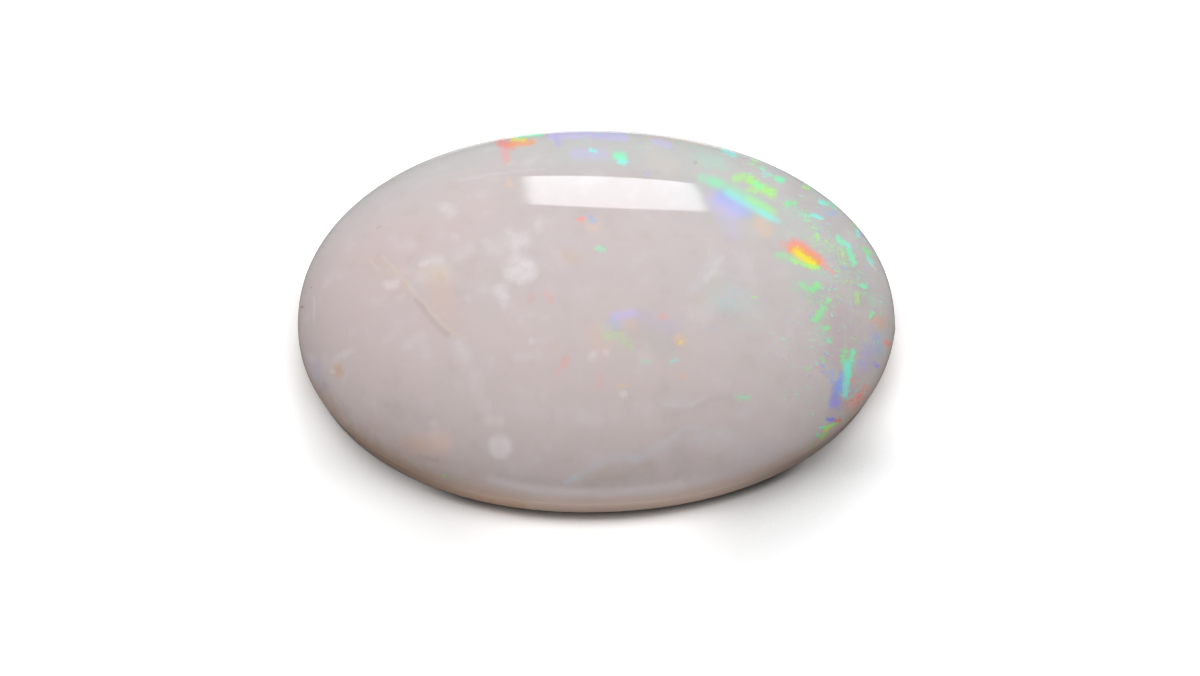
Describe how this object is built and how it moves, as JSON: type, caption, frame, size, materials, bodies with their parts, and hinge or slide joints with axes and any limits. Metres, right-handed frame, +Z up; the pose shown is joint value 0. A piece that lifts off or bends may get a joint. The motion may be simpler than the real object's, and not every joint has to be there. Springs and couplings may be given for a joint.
{
  "type": "opal cabochon",
  "caption": "Polished oval opal cabochon with a high milky dome, flecks of spectral colour, a drawn-in side and a flat back that it lies on.",
  "frame": {"origin": "middle of the stone's footprint, on the surface that its flat back lies on", "axes": "+X along the stone towards its slightly pointed end, +Y across it towards its far long side, +Z up out of the dome"},
  "size_m": [0.025, 0.018, 0.0069],
  "materials": {
    "opal_body": "milky, slightly pinkish white precious opal with a high polish, soft white clouds and a tan vein inside, and small flecks of green, blue, violet and red along its right and upper edges"
  },
  "bodies": {
    "root": {"opal": "opal_body"}
  },
  "joints": []
}
